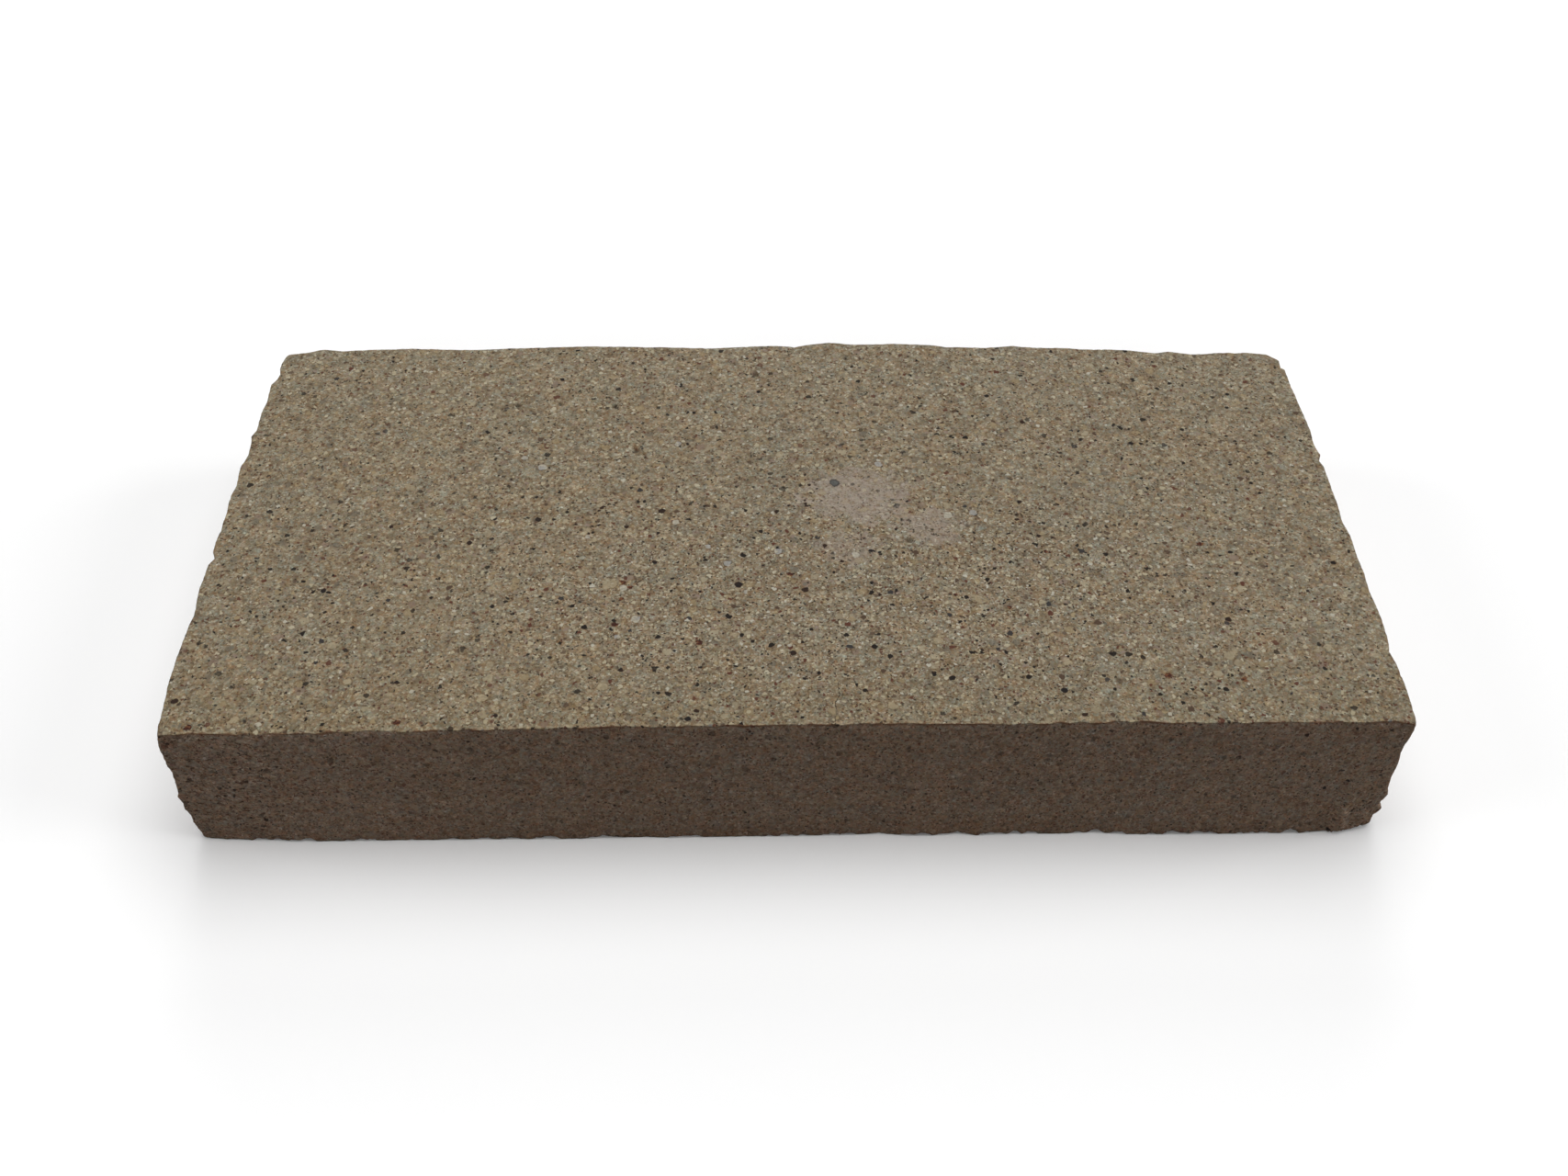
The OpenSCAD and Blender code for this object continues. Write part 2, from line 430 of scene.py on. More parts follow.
LEFT_BROAD = [(-57, 0.3), (-20, 0.2), (10, 0.35), (30, 0.75), (45, 1.1), (57, 1.6)]
LEFT_EDGE = [
    (-57, 0.5), (-51, 0.21), (-47, 0.01), (-45, -0.23), (-39, -0.27), (-35, -0.14), (-31, 0.09), (-29, 0.15), (-27, 0.42),
    (-25, 0.36), (-23, 0.05), (-19, -0.23), (-13, -0.04), (-11, 0.82), (-9, -0.01), (-5, -0.17), (-3, 0.27), (-1, 0.12),
    (3, 0.23), (7, -0.15), (11, 0.37), (15, 0), (17, -0.03), (19, 0.53), (21, 0.76), (25, 0.55), (27, 0.1), (29, 0.82),
    (31, 0.79), (35, 0.65), (39, 1.03), (45, 0.72), (47, 1.67), (49, 1.97), (51, 1.5), (53, 1.5), (55, 1.8), (57, 2.4),
]
RIGHT_BROAD = [(-57, 0.05), (-20, 0.05), (10, 0.35), (35, 0.7), (50, 1.1), (57, 1.5)]
RIGHT_EDGE = [
    (-57, -0.53), (-45, -0.28), (-41, 0.09), (-39, 0.43), (-37, -0.1), (-35, -0.24), (-31, -0.47), (-27, -0.38),
    (-23, -0.07), (-17, -0.32), (-13, -0.18), (-7, -0.39), (-5, -0.11), (-3, 0.2), (-1, 0.15), (3, -0.16), (11, -0.18),
    (15, -0.22), (17, 0.37), (19, -0.52), (21, 0.02), (23, 0.06), (27, -0.31), (31, -0.19), (35, 0.05), (39, 0.14),
    (43, 0.33), (46, 0.33), (49.3, 0.38), (49.9, 1.22), (51.3, 1.1), (52.7, 0.93), (53.7, 1.4), (54.6, 2.4), (57, 4.4),
]
LEFT_POST = [
    (0, 1), (7, 0.54), (9, -0.06), (12, -0), (13, -0.41), (14, -0), (16, 0.18), (18, 0.28), (20, 0.51), (22, 0.11),
    (24, 0.16), (26, 0.08), (28, -0.03), (30, 0.45), (32, 0.5),
]
RIGHT_POST = [
    (0, 0.8), (3, 0.6), (4, 0.3), (5, -0.35), (6, -0.05), (7, 0.75), (8, 0.54), (10, -0.29), (11, -0.02), (12, 0.35), (14, 0.49),
    (16, 0.58), (18, 0.4), (20, 0.38), (21, 0.49), (23, 0.73), (24, 0.7), (25, 0.68), (26, 0.41), (27, 0.25), (28, 0.15),
    (29, 0.01), (32, 0.2),
]


def faces_at(p):
    """How far each point is outside the three nearest faces, negative inside, on the warped and worn block."""
    x, y, z = p.T
    back = np.clip((y - LO[1]) / (HI[1] - LO[1]), 0, 1)
    up = np.clip(z / HI[2], 0, 1)
    near_top = np.exp(-(((HI[2] - z) / 4.5) ** 2))
    near_back = np.exp(-(((HI[1] - y) / 4.5) ** 2))
    near_front = np.exp(-(((y - LO[1]) / 6.0) ** 2))
    broad = curve(x, BACK_BROAD)
    fine = curve(x, BACK_EDGE) - broad
    top = z - (HI[2] - 0.6 * (broad * back**1.5 + fine * near_back) - curve(x, FRONT_DROP) * (1 - back) ** 4)
    rear = y - (HI[1] - 0.8 * (broad * (0.5 + 0.5 * up) + fine * near_top))
    under = LO[2] - z
    crest = 0.6 * curve(x, CREST) * np.exp(-(((HI[2] - z) / 1.3) ** 2))
    front = (LO[1] + curve(x, FRONT_LEAN) * up - curve(x, FRONT_FOOT) * (1 - up) ** 1.5 + crest) - y
    sides = []
    for broad_table, edge_table, post_table in ((LEFT_BROAD, LEFT_EDGE, LEFT_POST), (RIGHT_BROAD, RIGHT_EDGE, RIGHT_POST)):
        broad = curve(y, broad_table)
        sides.append((broad * (0.55 + 0.45 * up) + (curve(y, edge_table) - broad) * near_top) * (1 - near_front) + curve(z, post_table) * near_front)
    left = (LO[0] + sides[0]) - x
    right = x - (HI[0] - sides[1])
    return np.stack([np.maximum(right, left), np.maximum(rear, front), np.maximum(top, under)], 1)


# Corners that have broken off: a corner of the block, and how far the break reaches along X, Y and Z.
BREAKS = [
    ((-1, -1, -1), (2.3, 2.8, 10)), ((1, 1, -1), (3, 2, 2.5)), ((-1, 1, -1), (2, 4, 2)),
    ((1, -1, 1), (0.9, 0.9, 1.2)), ((-1, -1, 1), (1.4, 1.6, 2.3)), ((1, 1, 1), (3.6, 4.2, 3.2)), ((-1, 1, 1), (3.4, 5.2, 2.9)),
]
# Breaks with steps. Each takes away what lies outside all of its planes; a plane is a direction and a point on it.
STEPS = [
    [((1, -0.35, 0), (113.8, -57, 3)), ((0.05, -0.1, -1), (113.5, -57, 3.8))],
    [((0.29, -0.35, -1), (113.0, -57, 1.15))],
    [((0.3, 1, 0.35), (104, 56.9, 32)), ((1, 0.1, 0), (104.2, 57, 32))],
]


def nibbles():
    """Small bites out of the arrises: centre and radius of each. Their depth is what reaches into the block."""
    made = []
    for axis in range(3):
        u, v = [(1, 2), (2, 0), (0, 1)][axis]
        for su in (0, 1):
            for sv in (0, 1):
                ridge = axis == 0 and su == 0 and sv == 1
                known = (axis == 0 and su == sv) or (axis == 1 and su == 1) or (axis == 2 and sv == 0)
                span = HI[axis] - LO[axis]
                for _ in range(int(span / 100 * (110 if ridge else 34))):
                    r = rng.uniform(0.25, 1.1) if ridge else rng.uniform(0.7, 3.4)
                    deep = rng.uniform(0.06, 0.26) if ridge else rng.uniform(0.1, 0.45) * (0.5 + r / 4) * (0.14 if axis == 0 and su == sv == 1 else 0.45 if known else 1)
                    p = np.zeros(3)
                    p[axis] = rng.uniform(LO[axis], HI[axis])
                    out = (r - deep) / math.sqrt(2)
                    tilt = rng.uniform(-0.3, 0.3)
                    p[u] = (HI[u] + out * (1 + tilt)) if su else (LO[u] - out * (1 + tilt))
                    p[v] = (HI[v] + out * (1 - tilt)) if sv else (LO[v] - out * (1 - tilt))
                    if axis == 0 and su == sv == 1:
                        p -= np.array([0, 0.8, 0.6]) * curve(p[0], BACK_EDGE)
                    made.append((*p, r))
    return made


# Bites that show along the front arrises: place, radius and depth.
BITES = [
    ((-75, -57, 32), 1.5, 0.55), ((-73.4, -57, 32), 0.9, 0.4), ((-71.6, -57, 32), 1.2, 0.45), ((-109.5, -57, 32), 1.4, 0.5),
    ((-112, -57, 32), 1.2, 0.4), ((97, -57, 32), 1.3, 0.4), ((-22.7, -57, 32), 1.2, 0.35),
    ((0, -57, 0), 1.6, 0.4), ((12, -57, 0), 2.2, 0.5), ((33, -57, 0), 1.4, 0.5), ((44.5, -57, 0), 1.8, 0.5), ((60, -57, 0), 1.8, 0.5),
    ((-45, -57, 0), 1.2, 0.35), ((-81, -57, 0), 1.5, 0.35),
]


def bites():
    made = []
    for place, r, deep in BITES:
        p = np.array(place, float)
        away = np.sign(p - MID) * (np.abs(np.abs(p - MID) - (HI - MID)) < 0.6)
        made.append((*(p + away / np.linalg.norm(away) * (r - deep)), r))
    return made


CHIPS = np.array(nibbles() + bites())


def unit(v):
    v = np.array(v, float)
    return v / np.linalg.norm(v)


def planes():
    made = []
    for side, reach in BREAKS:
        side, reach = np.array(side, float), np.array(reach, float)
        corner = np.where(side > 0, HI, LO)
        made.append([(unit(side / reach), corner - side * np.array([reach[0], 0, 0]))])
    for step in STEPS:
        made.append([(unit(n), np.array(at, float)) for n, at in step])
    return made


PLANES = planes()


def surface(start, edge):
    """Moves points of the plain block inwards, each along its own ray, to the worn block's surface.
    Also returns how freshly broken the surface is there."""
    # the block's edges are brought to the edges of the warped block first
    deep = 7.0
    gap = np.minimum(start - LO, HI - start)
    inset = faces_at(start) + gap
    start = start - np.sign(start - MID) * inset * (1 - ramp(gap, 0, deep))
    inner = np.clip(start, LO + deep, HI - deep)
    way = inner - start
    way /= np.linalg.norm(way, axis=1)[:, None]
    ridge = (gap[:, 1] < 3) & (gap[:, 2] < 3) & (start[:, 1] < 0) & (start[:, 2] > MID[2])
    low = start[:, 2] < LO[2] + 3
    soft = 0.36 + 0.16 * noise(start, 7.0, 11)
    soft = np.where(ridge, 0.1 + 0.04 * noise(start, 3.0, 12), np.where(low, 0.28 + 0.08 * noise(start, 5.0, 13), soft))
    rough = fractal(start, 2.6, 21, 3, 0.6)
    wave = 0.14 * noise(start, 24.0, 31) + 0.08 * noise(start, 11.0, 32)
    grain = cells(start, 1.15, 41) / 1.15
    bare = roughness_at(start)
    torn = fractal(start * (0.55, 1, 1), 1.7, 51, 3, 0.6)
    ragged = np.where(ridge, 0.07 + 0.16 * np.maximum(fractal(start, 1.5, 61, 2, 0.7), -0.3), 0.0)
    step = np.zeros(len(start))

    near = [np.flatnonzero(((start - c[:3]) ** 2).sum(1) < (c[3] + 4.5) ** 2) for c in CHIPS]
    near_pits = [np.flatnonzero(((start - c[:3]) ** 2).sum(1) < (c[3] + 2.0) ** 2) for c in PITS]
    corners = np.abs(start - MID) > (HI - MID) - 22.0
    near_planes = []
    for group in PLANES:
        at = group[0][1]
        same = np.sign(start - MID) == np.sign(at - MID)
        near_planes.append(np.flatnonzero((corners & same)[:, :2].all(1)))

    def field(p, tell=False):
        q = faces_at(p) + soft[:, None]
        d = np.linalg.norm(np.maximum(q, 0), axis=1) + np.minimum(q.max(1), 0) - soft
        d = d + np.where(edge < 8, (wave + 0.12) * (1 - edge / 8), 0) * 0.5
        d = np.where(ridge, np.maximum(d, (q[:, 1] + q[:, 2] - 2 * soft) * 0.7071 + ragged), d)
        broken = np.zeros(len(p))
        for group, which in zip(PLANES, near_planes):
            e = np.full(len(which), 99.0)
            for n, at in group:
                e = np.minimum(e, (p[which] - at) @ n)
            e += 0.22 * rough[which] + 0.15 * grain[which] - 0.05
            if tell:
                broken[which] = np.maximum(broken[which], ramp(e - d[which], -0.3, 0.1))
            d[which] = np.maximum(d[which], e)
        for c, which in zip(CHIPS, near):
            e = c[3] * (1 + 0.1 * rough[which]) - np.sqrt(((p[which] - c[:3]) ** 2).sum(1))
            if tell:
                broken[which] = np.maximum(broken[which], ramp(e - d[which], -0.25, 0.1))
            d[which] = np.maximum(d[which], e)
        for c, which in zip(PITS, near_pits):
            e = c[3] - np.sqrt(((p[which] - c[:3]) ** 2).sum(1))
            d[which] = np.maximum(d[which], e)
        return (d, broken) if tell else d

    for _ in range(26):
        d = field(start + way * step[:, None])
        step = np.clip(step + 0.75 * d, -1.2, 12)
    p = start + way * step[:, None]
    _, fresh = field(p, True)
    # fine relief: grains stand out a little where the skin is worn, broken or come away
    skin = 0.03 + 0.07 * ramp(-edge, -1.4, -0.2) + 0.12 * fresh
    p += way * (skin * (0.55 * rough + 0.9 * grain) + bare * (0.1 + 0.16 * torn))[:, None]
    return p, fresh


def build_brick():
    P, T, F = start_mesh()
    P, T, F = refine(P, T, F, size_at)
    edge = edge_distance(P)
    shaped, fresh = surface(P, edge)
    shaped[:, 2] = np.maximum(shaped[:, 2], LO[2])
    print("brick:", len(P), "points,", len(T), "triangles")
    mesh = bpy.data.meshes.new("firebrick_body")
    mesh.vertices.add(len(P))
    mesh.vertices.foreach_set("co", (shaped / 1000.0).astype(np.float32).ravel())
    mesh.loops.add(len(T) * 3)
    mesh.loops.foreach_set("vertex_index", T.astype(np.int32).ravel())
    mesh.polygons.add(len(T))
    mesh.polygons.foreach_set("loop_start", np.arange(0, len(T) * 3, 3, dtype=np.int32))
    mesh.update(calc_edges=True)
    mesh.polygons.foreach_set("use_smooth", np.ones(len(T), bool))
    # the front arris of the top is crisp
    ends = np.empty(len(mesh.edges) * 2, np.int32)
    mesh.edges.foreach_get("vertices", ends)
    crest = (P[:, 1] < LO[1] + 1e-6) & (P[:, 2] > HI[2] - 1e-6)
    mesh.attributes.new("sharp_edge", "BOOLEAN", "EDGE").data.foreach_set("value", crest[ends.reshape(-1, 2)].all(1))

    def attribute(name, values):
        mesh.attributes.new(name, "FLOAT", "POINT").data.foreach_set("value", values.astype(np.float32))

    attribute("dark", spot_distance(P, DARK))
    attribute("pale", spot_distance(P, PALE))
    attribute("white", spot_distance(P, WHITES))
    attribute("rust", spot_distance(P, RUST))
    attribute("rim", spot_distance(P, RIM))
    attribute("pit", spot_distance(P, PITS))
    for name, (off, there) in (("crack", cracks_at(P)), ("seam", seams_at(P))):
        attribute(name, off)
        attribute(name + "_here", there)
    attribute("edge", np.minimum(edge, 12.0))
    attribute("fresh", fresh)
    attribute("bare", roughness_at(P))
    off = np.minimum(np.abs(P[:, 2] - LO[2]), np.abs(P[:, 2] - HI[2]))
    attribute("side", ramp(off, 0.02, 0.35))
    attribute("ridge", np.clip(fold(P), -9.0, 9.0))

    # one flat island for each face of the block, all at one scale, for the bake
    uv = mesh.uv_layers.new(name="OFBake")
    L, W, H = HI - LO
    gap = 3.0
    whole = max(L + H + 3 * gap, 2 * W + 2 * H + 5 * gap)
    corner = {5: (gap, gap), 4: (gap, 2 * gap + W), 2: (gap, 3 * gap + 2 * W), 3: (gap, 4 * gap + 2 * W + H), 1: (2 * gap + L, gap), 0: (2 * gap + L, 2 * gap + W)}
    V = P[T] - LO
    co = np.zeros((len(T), 3, 2))
    for face, (a, b) in corner.items():
        which = F == face
        u, v = {0: (2, 1), 1: (2, 1), 2: (0, 2), 3: (0, 2), 4: (0, 1), 5: (0, 1)}[face]
        flat = np.stack([V[which][..., u], V[which][..., v]], -1)
        if face in (4, 3, 0):  # so that no island is mirrored
            flat[..., 0] = (HI - LO)[u] - flat[..., 0]
        co[which] = flat + (a, b)
    uv.data.foreach_set("uv", (co / whole).astype(np.float32).ravel())
    brick = bpy.data.objects.new("firebrick_body", mesh)
    scene.collection.objects.link(brick)
    return brick


brick = build_brick()


# ---------------------------------------------------------------- material
class Graph:
    """Short names for the shader nodes that the material uses."""

    def __init__(self, tree):
        self.tree = tree

    def node(self, kind, **settings):
        n = self.tree.nodes.new(kind)
        for k, v in settings.items():
            setattr(n, k, v)
        return n

    def put(self, socket, value):
        if isinstance(value, bpy.types.NodeSocket):
            self.tree.links.new(value, socket)
        elif value is not None:
            socket.default_value = value

    def math(self, op, a, b=None, c=None, clamp=False):
        n = self.node("ShaderNodeMath", operation=op, use_clamp=clamp)
        for s, v in zip(n.inputs, (a, b, c)):
            self.put(s, v)
        return n.outputs[0]

    def vec(self, op, a, b=None, scale=None):
        n = self.node("ShaderNodeVectorMath", operation=op)
        self.put(n.inputs[0], a)
        if b is not None:
            self.put(n.inputs[1], b)
        if scale is not None:
            self.put(n.inputs["Scale"], scale)
        return n.outputs["Value"] if op in ("LENGTH", "DOT_PRODUCT", "DISTANCE") else n.outputs["Vector"]

    def step(self, x, lo, hi, a=0.0, b=1.0):
        n = self.node("ShaderNodeMapRange", interpolation_type="SMOOTHSTEP")
        for s, v in zip(n.inputs, (x, lo, hi, a, b)):
            self.put(s, v)
        return n.outputs[0]

    def noise(self, p, size, detail=2.0, rough=0.5, colour=False):
        n = self.node("ShaderNodeTexNoise", noise_dimensions="3D")
        self.put(n.inputs["Vector"], p)
        n.inputs["Scale"].default_value = 1.0 / size
        n.inputs["Detail"].default_value = detail
        n.inputs["Roughness"].default_value = rough
        return n.outputs["Color" if colour else "Fac"]

    def cells(self, p, size, feature="F1"):
        n = self.node("ShaderNodeTexVoronoi", voronoi_dimensions="3D", feature=feature)
        self.put(n.inputs["Vector"], p)
        n.inputs["Scale"].default_value = 1.0 / size
        return n.outputs["Distance"], n.outputs.get("Color")

    def mix(self, f, a, b, blend="MIX"):
        n = self.node("ShaderNodeMix", data_type="RGBA", blend_type=blend)
        self.put(n.inputs["Factor"], f)
        self.put(n.inputs["A"], a)
        self.put(n.inputs["B"], b)
        return n.outputs["Result"]

    def attr(self, name):
        return self.node("ShaderNodeAttribute", attribute_name=name).outputs["Fac"]

    def split(self, colour):
        n = self.node("ShaderNodeSeparateColor")
        self.put(n.inputs[0], colour)
        return n.outputs

    def graded(self, x, stops, interpolation="LINEAR"):
        n = self.node("ShaderNodeValToRGB")
        n.color_ramp.interpolation = interpolation
        e = n.color_ramp.elements
        while len(e) > 1:
            e.remove(e[-1])
        for i, (at, colour) in enumerate(stops):
            s = e[0] if i == 0 else e.new(at)
            s.position = at
            s.color = colour
        self.put(n.inputs[0], x)
        return n.outputs["Color"], n.outputs["Alpha"]

    def chosen(self, x, stops):
        """A stepped ramp: stops are (from, colour or None). Returns the colour and 1 where there is one."""
        return self.graded(x, [(at, (*(c or (0.2, 0.2, 0.2)), 1.0 if c else 0.0)) for at, c in stops], "CONSTANT")

    def tint(self, colour, by, f=1.0):
        return self.mix(f, colour, by, "MULTIPLY")


CREAM = (0.315, 0.264, 0.172)
PALE_TAN = (0.252, 0.206, 0.134)
WHITE = (0.355, 0.32, 0.25)
OCHRE = (0.245, 0.182, 0.10)
OLIVE = (0.114, 0.1, 0.075)
PINK = (0.185, 0.132, 0.1)
BROWN = (0.07, 0.044, 0.029)
RUSTY = (0.085, 0.033, 0.021)
BLACK = (0.013, 0.010, 0.0085)
SLATE = (0.034, 0.031, 0.03)
MEAN = (0.186, 0.1535, 0.1045)


def fireclay():
    mat = bpy.data.materials.new("fireclay")
    mat.use_nodes = True
    tree = mat.node_tree
    tree.nodes.clear()
    g = Graph(tree)
    out = g.node("ShaderNodeOutputMaterial")
    bsdf = g.node("ShaderNodeBsdfPrincipled")
    tree.links.new(bsdf.outputs[0], out.inputs[0])

    place = g.vec("SCALE", g.node("ShaderNodeTexCoord").outputs["Object"], scale=1000.0)  # mm
    edge, fresh, side, ridge, bare = (g.attr(n) for n in ("edge", "fresh", "side", "ridge", "bare"))

    xyz = g.node("ShaderNodeSeparateXYZ")
    g.put(xyz.inputs[0], place)
    x, y, z = xyz.outputs
    bed = g.math("SUBTRACT", 1.0, side)
    calm = g.math("MULTIPLY_ADD", side, -0.45, 1.0)

    # the grains' outlines are ragged
    shake = g.vec("SUBTRACT", g.noise(place, 1.1, 2.0, 0.6, colour=True), (0.5, 0.5, 0.5))
    p = g.vec("ADD", place, g.vec("SCALE", shake, scale=1.3))
    near = g.split(g.noise(place, 3.2, 2.0, 0.6, colour=True))
    wide = g.split(g.noise(place, 24.0, 2.0, 0.55, colour=True))
    spread = {size: g.cells(p, size) for size in (0.34, 0.52, 0.75, 1.05, 1.6, 2.2, 2.8)}
    pick = {size: g.split(c)[:3] for size, (_, c) in spread.items()}

    # the middle of the top is worn more open than the rest
    off = g.vec("LENGTH", g.vec("MULTIPLY", g.vec("SUBTRACT", place, (14.0, -25.0, 32.0)), (1 / 80, 1 / 34, 1 / 30)))
    worn = g.math("MULTIPLY", g.step(g.math("ADD", off, g.math("MULTIPLY_ADD", near[2], 0.9, -0.45)), 1.15, 0.6), bed)

    # sand, finer in some places than in others: each grain has its own brightness and tint. Dark grains are the
    # redder ones. The skin of the pressed sides has less of the light and dark.
    c = g.mix(g.step(g.noise(place, 1.7, 1.0), 0.44, 0.5), spread[0.34][1], spread[0.52][1])
    r, k, b = g.split(c)[:3]
    fine = g.step(g.noise(place, 0.45, 2.0, 0.6), 0.3, 0.7, -0.5, 0.5)
    r = g.math("ADD", g.math("MULTIPLY_ADD", r, 0.62, 0.175), g.math("MULTIPLY", fine, 0.42))
    r = g.math("MULTIPLY_ADD", g.math("SUBTRACT", r, 0.5), g.math("MULTIPLY_ADD", worn, 0.07, 1.02), 0.5)
    fine = g.math("MULTIPLY_ADD", fine, 0.34, 1.0)
    less = g.step(r, 0.95, 0.55, 0.4, 1.0)
    base, _ = g.graded(r, [
        (0.00, (0.026, 0.017, 0.011, 1)), (0.06, (0.072, 0.048, 0.031, 1)), (0.14, (0.135, 0.104, 0.068, 1)),
        (0.34, (0.174, 0.140, 0.093, 1)), (0.60, (0.205, 0.169, 0.114, 1)), (0.80, (0.245, 0.209, 0.146, 1)),
        (0.93, (0.312, 0.274, 0.2, 1)), (0.975, (0.355, 0.322, 0.246, 1)), (1.00, (0.43, 0.40, 0.315, 1)),
    ])
    base = g.mix(g.math("MULTIPLY", side, 0.2), base, (*MEAN, 1))
    base = g.tint(base, g.graded(k, [(0.0, (1.07, 1.0, 0.88, 1)), (0.5, (1.0, 1.0, 1.0, 1)), (1.0, (0.94, 1.0, 1.10, 1))])[0], less)
    base = g.tint(base, g.graded(b, [(0.0, (1.085, 0.95, 0.935, 1)), (0.5, (1.0, 1.0, 1.0, 1)), (1.0, (0.94, 1.028, 1.03, 1))])[0], less)

    # slight drifts of warmer, greyer, darker and paler sand
    patch = g.math("ADD", g.step(near[0], 0.3, 0.7, -0.13, 0.13), g.step(near[2], 0.3, 0.7, -0.06, 0.06))
    light = g.math("MULTIPLY_ADD", patch, calm, g.step(wide[0], 0.3, 0.7, 0.98, 1.02))
    warm = g.math("ADD", g.step(near[1], 0.3, 0.7, 0.0, 0.8), g.step(wide[1], 0.3, 0.7, 0.0, 0.2))
    drift, _ = g.graded(warm, [(0.0, (0.955, 1.01, 1.06, 1)), (1.0, (1.05, 0.99, 0.93, 1))])
    base = g.tint(base, g.vec("SCALE", drift, scale=light))

    # painted shade, darker and redder, in the crevices between the coarser grains
    gap = g.step(spread[1.05][0], 0.47, 0.7)
    base = g.tint(base, (0.74, 0.64, 0.56, 1), g.math("MULTIPLY", gap, g.math("MULTIPLY_ADD", side, -0.35, 0.85)))
    base = g.tint(base, (0.86, 0.81, 0.77, 1), g.math("MULTIPLY", g.step(spread[0.75][0], 0.5, 0.68), worn))

    def grains(base, size, stops, r_lo, r_hi, soft, strength=1.0, where=None, ring=0.0, by=0):
        """Lays grains of radius r_lo to r_hi over base, one for each cell that stops gives a colour, with a ring of
        painted shade around each.
        """
        colour, there = g.chosen(pick[size][by], stops)
        limit = g.math("MULTIPLY_ADD", pick[size][(by + 1) % 3], (r_hi - r_lo) / size, r_lo / size)
        lo, hi = g.math("SUBTRACT", limit, soft / size), g.math("ADD", limit, soft / size)
        if where is not None:
            there = g.math("MULTIPLY", there, where)
        # ring sets the strength of the painted shade in a gap around each grain
        if ring:
            shade_around = g.math("MULTIPLY", g.step(spread[size][0], g.math("ADD", hi, 0.2 / size), hi), there)
            base = g.tint(base, (0.68, 0.57, 0.48, 1), g.math("MULTIPLY", shade_around, ring))
        mask = g.math("MULTIPLY", g.step(spread[size][0], hi, lo), there)
        return g.mix(g.math("MULTIPLY", mask, strength), base, colour)

    base = grains(base, 2.2, [(0, None), (0.66, PALE_TAN), (0.76, CREAM), (0.82, OCHRE), (0.88, OLIVE), (0.955, PINK)], 0.4, 1.0, 0.14, 0.56, calm, 0.5)
    base = grains(base, 1.05, [(0, CREAM), (0.09, PALE_TAN), (0.15, None), (0.76, OLIVE), (0.81, PINK), (0.86, OCHRE), (0.91, BROWN), (0.965, WHITE)], 0.18, 0.46, 0.09, 0.82, calm, 0.5)
    base = grains(base, 1.6, [(0, None), (0.55, CREAM), (0.67, (0.345, 0.295, 0.205)), (0.755, WHITE), (0.78, OCHRE), (0.84, None)], 0.22, 0.52, 0.08, 0.85, calm, 0.6)

    base = grains(base, 0.75, [(0, CREAM), (0.1, WHITE), (0.15, None)], 0.12, 0.32, 0.07, 0.9, worn, 0.5, by=1)

    # where the skin has come away, dark gaps and pale grains are drawn out along the length
    streak = g.split(g.noise(g.vec("MULTIPLY", p, (0.5, 1.0, 1.0)), 0.62, 2.0, 0.6, colour=True))
    torn = g.math("MULTIPLY", g.math("MULTIPLY_ADD", bare, 0.8, 0.2), side)
    base = g.tint(base, (1.3, 1.33, 1.36, 1), g.math("MULTIPLY", g.step(streak[0], 0.54, 0.66), torn))
    base = g.tint(base, (0.3, 0.22, 0.19, 1), g.math("MULTIPLY", g.step(streak[1], 0.56, 0.68), torn))
    base = g.tint(base, g.graded(streak[2], [(0.36, (1.07, 0.975, 0.95, 1)), (0.5, (1, 1, 1, 1)), (0.64, (0.945, 1.018, 1.035, 1))])[0], side)

    # the pressed sides are a little redder than the beds
    base = g.tint(base, (1.165, 1.225, 1.285, 1))
    base = g.tint(base, (1.045, 1.06, 1.075, 1), worn)
    base = g.tint(base, (0.9425, 0.809, 0.833, 1), side)

    # the top is darker and warmer along the front arris, paler at the back and a little warmer to the left; each side
    # has painted shade at its foot, where it meets the floor, and is paler towards both ends
    base = g.tint(base, (0.925, 0.915, 0.885, 1), g.math("MULTIPLY", g.step(y, -32.0, -58.0), bed))
    base = g.tint(base, (1.025, 1.035, 1.045, 1), g.math("MULTIPLY", g.step(y, 18.0, 57.0), bed))
    base = g.tint(base, (1.01, 1.0, 0.98, 1), g.math("MULTIPLY", g.step(x, 10.0, -60.0), bed))
    # painted shade along the foot of each side
    base = g.tint(base, (0.87, 0.82, 0.79, 1), g.math("MULTIPLY", g.step(z, 8.0, 0.0), side))
    base = g.tint(base, (1.09, 1.1, 1.12, 1), g.math("MULTIPLY", g.step(x, -45.0, -90.0), side))
    base = g.tint(base, (1.05, 1.06, 1.07, 1), g.math("MULTIPLY", g.step(x, 30.0, 90.0), side))

    # smears of pink clay on the top
    smear = None
    for at, radii, full in (((15.5, 5.5, 32.0), (10.5, 8.0, 4.0), 1.0), ((29.5, -3.4, 32.0), (7.0, 5.5, 4.0), 0.85), ((13.5, -9.5, 32.0), (6.5, 5.0, 4.0), 0.6)):
        off = g.vec("LENGTH", g.vec("MULTIPLY", g.vec("SUBTRACT", place, at), tuple(1 / v for v in radii)))
        lobe = g.step(g.math("ADD", off, g.math("MULTIPLY_ADD", near[2], 2.4, -1.2)), 1.2, 0.7, 0.0, full)
        smear = lobe if smear is None else g.math("MAXIMUM", smear, lobe)
    smear = g.math("MULTIPLY", smear, g.step(g.split(shake)[0], -0.14, 0.05, 0.4, 1.0))
    veil = g.math("MULTIPLY", smear, g.step(fine, 0.85, 1.12, 0.42, 0.78))
    base = g.mix(veil, base, (0.292, 0.244, 0.204, 1))

